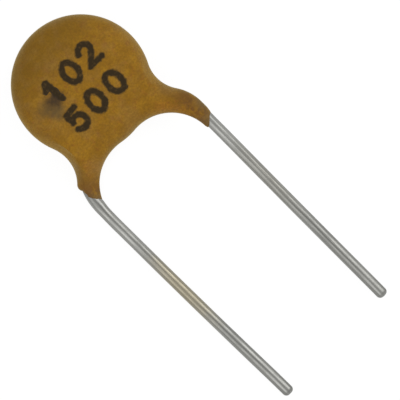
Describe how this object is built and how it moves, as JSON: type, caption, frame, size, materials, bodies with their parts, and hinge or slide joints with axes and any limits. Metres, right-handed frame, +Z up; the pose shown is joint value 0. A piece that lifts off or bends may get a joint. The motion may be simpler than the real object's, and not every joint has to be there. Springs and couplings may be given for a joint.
{
  "type": "ceramic disc capacitor",
  "caption": "Small round disc capacitor in a dipped resin coat, with two straight side-by-side wire leads for through-hole mounting.",
  "frame": {"origin": "middle of the part's bounding box, on the surface that the part lies on", "axes": "+X to the right across both leads with the marked face up, +Y from the lead tips towards the disc, +Z up from the surface"},
  "size_m": [0.0082, 0.0234, 0.0027],
  "materials": {
    "ceramic": "fired, unglazed",
    "fired_silver": "fired silver paste, matt",
    "solder": "reflowed tin-lead solder",
    "tinned_wire": "hot-tinned copper wire, dull bright",
    "resin": "dipped phenolic resin, satin, golden brown"
  },
  "bodies": {
    "root": {"dielectric_disc": "ceramic", "front_electrode": "fired_silver", "rear_electrode": "fired_silver", "front_solder": "solder", "rear_solder": "solder", "left_lead": "tinned_wire", "right_lead": "tinned_wire", "resin_coat": "resin"}
  },
  "joints": []
}
